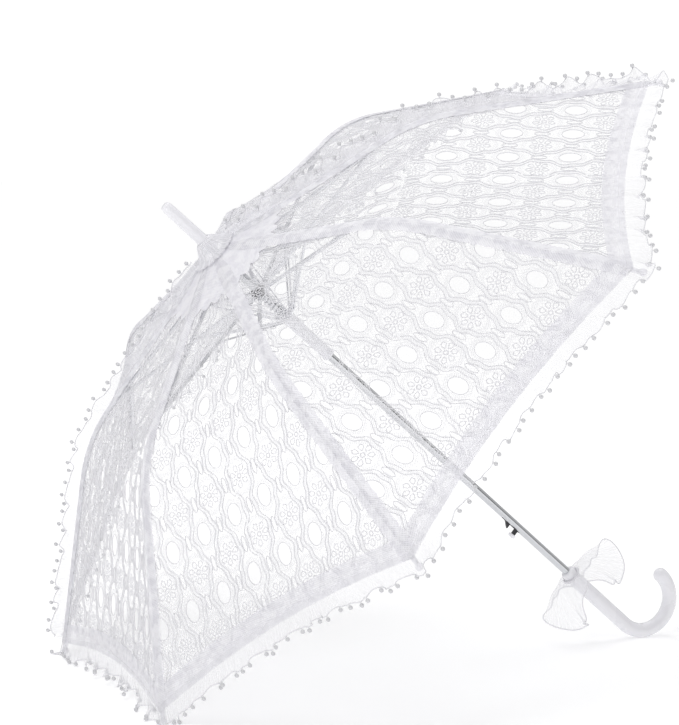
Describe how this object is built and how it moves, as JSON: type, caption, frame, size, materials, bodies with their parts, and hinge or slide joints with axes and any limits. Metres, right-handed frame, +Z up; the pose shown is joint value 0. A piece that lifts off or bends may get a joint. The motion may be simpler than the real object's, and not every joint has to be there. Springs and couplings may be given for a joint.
{
  "type": "lace parasol",
  "caption": "Open parasol with a lace canopy on a folding rib frame with a sliding runner, latch button and crook handle, lying on two rib tips and the crook.",
  "frame": {"origin": "on the ground under the middle of the open parasol as it lies on two rib tips and the crook", "axes": "+Z up, +X towards the handle, +Y across the canopy; the shaft lies in the X-Z plane"},
  "size_m": [0.6058, 0.7404, 0.5582],
  "materials": {
    "lace": "matte",
    "organza": "sheer",
    "chrome_tube": "polished",
    "steel": "satin",
    "white_rib": "satin",
    "white_plastic": "gloss",
    "black_plastic": "satin"
  },
  "bodies": {
    "frame": {"shaft_tube": "chrome_tube", "ferrule_cap": "white_plastic", "top_notch": "white_plastic", "handle_hook": "white_plastic", "handle_frill": "organza"},
    "latch": {"latch_lever": "black_plastic", "button_cap": "white_plastic"},
    "hub": {"upper_hub": "black_plastic", "opening_spring": "steel"},
    "runner": {"lower_runner": "white_plastic"},
    "rib_1": {"rib_1_inner": "steel", "canopy_1_inner": "lace"},
    "rib_1_tip": {"rib_1_outer": "white_rib", "canopy_1_outer": "lace"},
    "stretcher_1": {"stretcher_1": "steel"},
    "link_1": {"link_1": "steel"},
    "rib_2": {"rib_2_inner": "steel", "canopy_2_inner": "lace"},
    "rib_2_tip": {"rib_2_outer": "white_rib", "canopy_2_outer": "lace"},
    "stretcher_2": {"stretcher_2": "steel"},
    "link_2": {"link_2": "steel"},
    "rib_3": {"rib_3_inner": "steel", "canopy_3_inner": "lace"},
    "rib_3_tip": {"rib_3_outer": "white_rib", "canopy_3_outer": "lace"},
    "stretcher_3": {"stretcher_3": "steel"},
    "link_3": {"link_3": "steel"},
    "rib_4": {"rib_4_inner": "steel", "canopy_4_inner": "lace"},
    "rib_4_tip": {"rib_4_outer": "white_rib", "canopy_4_outer": "lace"},
    "stretcher_4": {"stretcher_4": "steel"},
    "link_4": {"link_4": "steel"},
    "rib_5": {"rib_5_inner": "steel", "canopy_5_inner": "lace"},
    "rib_5_tip": {"rib_5_outer": "white_rib", "canopy_5_outer": "lace"},
    "stretcher_5": {"stretcher_5": "steel"},
    "link_5": {"link_5": "steel"},
    "rib_6": {"rib_6_inner": "steel", "canopy_6_inner": "lace"},
    "rib_6_tip": {"rib_6_outer": "white_rib", "canopy_6_outer": "lace"},
    "stretcher_6": {"stretcher_6": "steel"},
    "link_6": {"link_6": "steel"},
    "rib_7": {"rib_7_inner": "steel", "canopy_7_inner": "lace"},
    "rib_7_tip": {"rib_7_outer": "white_rib", "canopy_7_outer": "lace"},
    "stretcher_7": {"stretcher_7": "steel"},
    "link_7": {"link_7": "steel"},
    "rib_8": {"rib_8_inner": "steel", "canopy_8_inner": "lace"},
    "rib_8_tip": {"rib_8_outer": "white_rib", "canopy_8_outer": "lace"},
    "stretcher_8": {"stretcher_8": "steel"},
    "link_8": {"link_8": "steel"}
  },
  "joints": [
    {"name": "canopy_fold", "type": "hinge", "parent": "frame", "child": "rib_1", "pos_m": [-0.18952, -0.00344, 0.38372], "axis": [0.2523, -0.9239, 0.2877], "range_deg": [0, 76], "stiffness_Nm_per_rad": 0.6, "springref_deg": -68.75, "deforming": ["canopy_1_inner"]},
    {"name": "rib_1_flex", "type": "hinge", "parent": "rib_1", "child": "rib_1_tip", "pos_m": [-0.29356, -0.08152, 0.22425], "axis": [0.2523, -0.9239, 0.2877], "range_deg": [-23, 0], "deforming": ["canopy_1_outer"]},
    {"name": "stretcher_1_fold", "type": "hinge", "parent": "rib_1", "child": "stretcher_1", "pos_m": [-0.2706, -0.06429, 0.25944], "axis": [0.2523, -0.9239, 0.2877], "range_deg": [-152, 0]},
    {"name": "link_1_fold", "type": "hinge", "parent": "stretcher_1", "child": "link_1", "pos_m": [-0.20188, -0.02717, 0.31835], "axis": [0.2523, -0.9239, 0.2877], "range_deg": [0, 27.37]},
    {"name": "rib_2_fold", "type": "hinge", "parent": "frame", "child": "rib_2", "pos_m": [-0.18631, -0.00831, 0.38738], "axis": [0.6092, -0.3827, 0.6946], "range_deg": [0, 76], "deforming": ["canopy_2_inner"]},
    {"name": "rib_2_flex", "type": "hinge", "parent": "rib_2", "child": "rib_2_tip", "pos_m": [-0.21753, -0.1968, 0.31092], "axis": [0.6092, -0.3827, 0.6946], "range_deg": [-23, 0], "deforming": ["canopy_2_outer"]},
    {"name": "stretcher_2_fold", "type": "hinge", "parent": "rib_2", "child": "stretcher_2", "pos_m": [-0.21064, -0.15521, 0.32779], "axis": [0.6092, -0.3827, 0.6946], "range_deg": [-152, 0]},
    {"name": "link_2_fold", "type": "hinge", "parent": "stretcher_2", "child": "link_2", "pos_m": [-0.17654, -0.0656, 0.34724], "axis": [0.6092, -0.3827, 0.6946], "range_deg": [0, 27.37]},
    {"name": "rib_3_fold", "type": "hinge", "parent": "frame", "child": "rib_3", "pos_m": [-0.18177, -0.00831, 0.39256], "axis": [0.6092, 0.3827, 0.6946], "range_deg": [0, 76], "deforming": ["canopy_3_inner"]},
    {"name": "rib_3_flex", "type": "hinge", "parent": "rib_3", "child": "rib_3_tip", "pos_m": [-0.11002, -0.1968, 0.43348], "axis": [0.6092, 0.3827, 0.6946], "range_deg": [-23, 0], "deforming": ["canopy_3_outer"]},
    {"name": "stretcher_3_fold", "type": "hinge", "parent": "rib_3", "child": "stretcher_3", "pos_m": [-0.12585, -0.15521, 0.42445], "axis": [0.6092, 0.3827, 0.6946], "range_deg": [-152, 0]},
    {"name": "link_3_fold", "type": "hinge", "parent": "stretcher_3", "child": "link_3", "pos_m": [-0.1407, -0.0656, 0.3881], "axis": [0.6092, 0.3827, 0.6946], "range_deg": [0, 27.37]},
    {"name": "rib_4_fold", "type": "hinge", "parent": "frame", "child": "rib_4", "pos_m": [-0.17855, -0.00344, 0.39622], "axis": [0.2523, 0.9239, 0.2877], "range_deg": [0, 76], "deforming": ["canopy_4_inner"]},
    {"name": "rib_4_flex", "type": "hinge", "parent": "rib_4", "child": "rib_4_tip", "pos_m": [-0.034, -0.08152, 0.52015], "axis": [0.2523, 0.9239, 0.2877], "range_deg": [-23, 0], "deforming": ["canopy_4_outer"]},
    {"name": "stretcher_4_fold", "type": "hinge", "parent": "rib_4", "child": "stretcher_4", "pos_m": [-0.0659, -0.06429, 0.4928], "axis": [0.2523, 0.9239, 0.2877], "range_deg": [-152, 0]},
    {"name": "link_4_fold", "type": "hinge", "parent": "stretcher_4", "child": "link_4", "pos_m": [-0.11536, -0.02717, 0.41699], "axis": [0.2523, 0.9239, 0.2877], "range_deg": [0, 27.37]},
    {"name": "rib_5_fold", "type": "hinge", "parent": "frame", "child": "rib_5", "pos_m": [-0.17855, 0.00344, 0.39622], "axis": [-0.2523, 0.9239, -0.2877], "range_deg": [0, 76], "deforming": ["canopy_5_inner"]},
    {"name": "rib_5_flex", "type": "hinge", "parent": "rib_5", "child": "rib_5_tip", "pos_m": [-0.034, 0.08152, 0.52015], "axis": [-0.2523, 0.9239, -0.2877], "range_deg": [-23, 0], "deforming": ["canopy_5_outer"]},
    {"name": "stretcher_5_fold", "type": "hinge", "parent": "rib_5", "child": "stretcher_5", "pos_m": [-0.0659, 0.06429, 0.4928], "axis": [-0.2523, 0.9239, -0.2877], "range_deg": [-152, 0]},
    {"name": "link_5_fold", "type": "hinge", "parent": "stretcher_5", "child": "link_5", "pos_m": [-0.11536, 0.02717, 0.41699], "axis": [-0.2523, 0.9239, -0.2877], "range_deg": [0, 27.37]},
    {"name": "rib_6_fold", "type": "hinge", "parent": "frame", "child": "rib_6", "pos_m": [-0.18177, 0.00831, 0.39256], "axis": [-0.6092, 0.3827, -0.6946], "range_deg": [0, 76], "deforming": ["canopy_6_inner"]},
    {"name": "rib_6_flex", "type": "hinge", "parent": "rib_6", "child": "rib_6_tip", "pos_m": [-0.11002, 0.1968, 0.43348], "axis": [-0.6092, 0.3827, -0.6946], "range_deg": [-23, 0], "deforming": ["canopy_6_outer"]},
    {"name": "stretcher_6_fold", "type": "hinge", "parent": "rib_6", "child": "stretcher_6", "pos_m": [-0.12585, 0.15521, 0.42445], "axis": [-0.6092, 0.3827, -0.6946], "range_deg": [-152, 0]},
    {"name": "link_6_fold", "type": "hinge", "parent": "stretcher_6", "child": "link_6", "pos_m": [-0.1407, 0.0656, 0.3881], "axis": [-0.6092, 0.3827, -0.6946], "range_deg": [0, 27.37]},
    {"name": "rib_7_fold", "type": "hinge", "parent": "frame", "child": "rib_7", "pos_m": [-0.18631, 0.00831, 0.38738], "axis": [-0.6092, -0.3827, -0.6946], "range_deg": [0, 76], "deforming": ["canopy_7_inner"]},
    {"name": "rib_7_flex", "type": "hinge", "parent": "rib_7", "child": "rib_7_tip", "pos_m": [-0.21753, 0.1968, 0.31092], "axis": [-0.6092, -0.3827, -0.6946], "range_deg": [-23, 0], "deforming": ["canopy_7_outer"]},
    {"name": "stretcher_7_fold", "type": "hinge", "parent": "rib_7", "child": "stretcher_7", "pos_m": [-0.21064, 0.15521, 0.32779], "axis": [-0.6092, -0.3827, -0.6946], "range_deg": [-152, 0]},
    {"name": "link_7_fold", "type": "hinge", "parent": "stretcher_7", "child": "link_7", "pos_m": [-0.17654, 0.0656, 0.34724], "axis": [-0.6092, -0.3827, -0.6946], "range_deg": [0, 27.37]},
    {"name": "rib_8_fold", "type": "hinge", "parent": "frame", "child": "rib_8", "pos_m": [-0.18952, 0.00344, 0.38372], "axis": [-0.2523, -0.9239, -0.2877], "range_deg": [0, 76], "deforming": ["canopy_8_inner"]},
    {"name": "rib_8_flex", "type": "hinge", "parent": "rib_8", "child": "rib_8_tip", "pos_m": [-0.29356, 0.08152, 0.22425], "axis": [-0.2523, -0.9239, -0.2877], "range_deg": [-23, 0], "deforming": ["canopy_8_outer"]},
    {"name": "stretcher_8_fold", "type": "hinge", "parent": "rib_8", "child": "stretcher_8", "pos_m": [-0.2706, 0.06429, 0.25944], "axis": [-0.2523, -0.9239, -0.2877], "range_deg": [-152, 0]},
    {"name": "link_8_fold", "type": "hinge", "parent": "stretcher_8", "child": "link_8", "pos_m": [-0.20188, 0.02717, 0.31835], "axis": [-0.2523, -0.9239, -0.2877], "range_deg": [0, 27.37]},
    {"name": "hub_travel", "type": "hinge", "parent": "stretcher_1", "child": "hub", "pos_m": [-0.15795, -0.00344, 0.35602], "axis": [0.2523, -0.9239, 0.2877], "range_deg": [0, 76]},
    {"name": "runner_slide", "type": "slide", "parent": "hub", "child": "runner", "axis": [-0.7518, 0, 0.6594], "range_m": [0, 0.02277], "deforming": ["opening_spring"]},
    {"name": "button_press", "type": "slide", "parent": "frame", "child": "latch", "axis": [0.6594, 0, 0.7518], "range_m": [0, 0.0016], "stiffness_N_per_m": 400, "springref_m": -0.001}
  ],
  "couplings": [
    {"joint": "rib_1_flex", "follows": "canopy_fold", "ratio": -0.30263},
    {"joint": "stretcher_1_fold", "follows": "canopy_fold", "ratio": -2},
    {"joint": "link_1_fold", "follows": "canopy_fold", "ratio": 0.35998},
    {"joint": "rib_2_fold", "follows": "canopy_fold", "ratio": 1},
    {"joint": "rib_2_flex", "follows": "canopy_fold", "ratio": -0.30263},
    {"joint": "stretcher_2_fold", "follows": "canopy_fold", "ratio": -2},
    {"joint": "link_2_fold", "follows": "canopy_fold", "ratio": 0.35998},
    {"joint": "rib_3_fold", "follows": "canopy_fold", "ratio": 1},
    {"joint": "rib_3_flex", "follows": "canopy_fold", "ratio": -0.30263},
    {"joint": "stretcher_3_fold", "follows": "canopy_fold", "ratio": -2},
    {"joint": "link_3_fold", "follows": "canopy_fold", "ratio": 0.35998},
    {"joint": "rib_4_fold", "follows": "canopy_fold", "ratio": 1},
    {"joint": "rib_4_flex", "follows": "canopy_fold", "ratio": -0.30263},
    {"joint": "stretcher_4_fold", "follows": "canopy_fold", "ratio": -2},
    {"joint": "link_4_fold", "follows": "canopy_fold", "ratio": 0.35998},
    {"joint": "rib_5_fold", "follows": "canopy_fold", "ratio": 1},
    {"joint": "rib_5_flex", "follows": "canopy_fold", "ratio": -0.30263},
    {"joint": "stretcher_5_fold", "follows": "canopy_fold", "ratio": -2},
    {"joint": "link_5_fold", "follows": "canopy_fold", "ratio": 0.35998},
    {"joint": "rib_6_fold", "follows": "canopy_fold", "ratio": 1},
    {"joint": "rib_6_flex", "follows": "canopy_fold", "ratio": -0.30263},
    {"joint": "stretcher_6_fold", "follows": "canopy_fold", "ratio": -2},
    {"joint": "link_6_fold", "follows": "canopy_fold", "ratio": 0.35998},
    {"joint": "rib_7_fold", "follows": "canopy_fold", "ratio": 1},
    {"joint": "rib_7_flex", "follows": "canopy_fold", "ratio": -0.30263},
    {"joint": "stretcher_7_fold", "follows": "canopy_fold", "ratio": -2},
    {"joint": "link_7_fold", "follows": "canopy_fold", "ratio": 0.35998},
    {"joint": "rib_8_fold", "follows": "canopy_fold", "ratio": 1},
    {"joint": "rib_8_flex", "follows": "canopy_fold", "ratio": -0.30263},
    {"joint": "stretcher_8_fold", "follows": "canopy_fold", "ratio": -2},
    {"joint": "link_8_fold", "follows": "canopy_fold", "ratio": 0.35998},
    {"joint": "hub_travel", "follows": "canopy_fold", "ratio": 1},
    {"joint": "runner_slide", "follows": "canopy_fold", "m_per_rad": 0.017147}
  ]
}
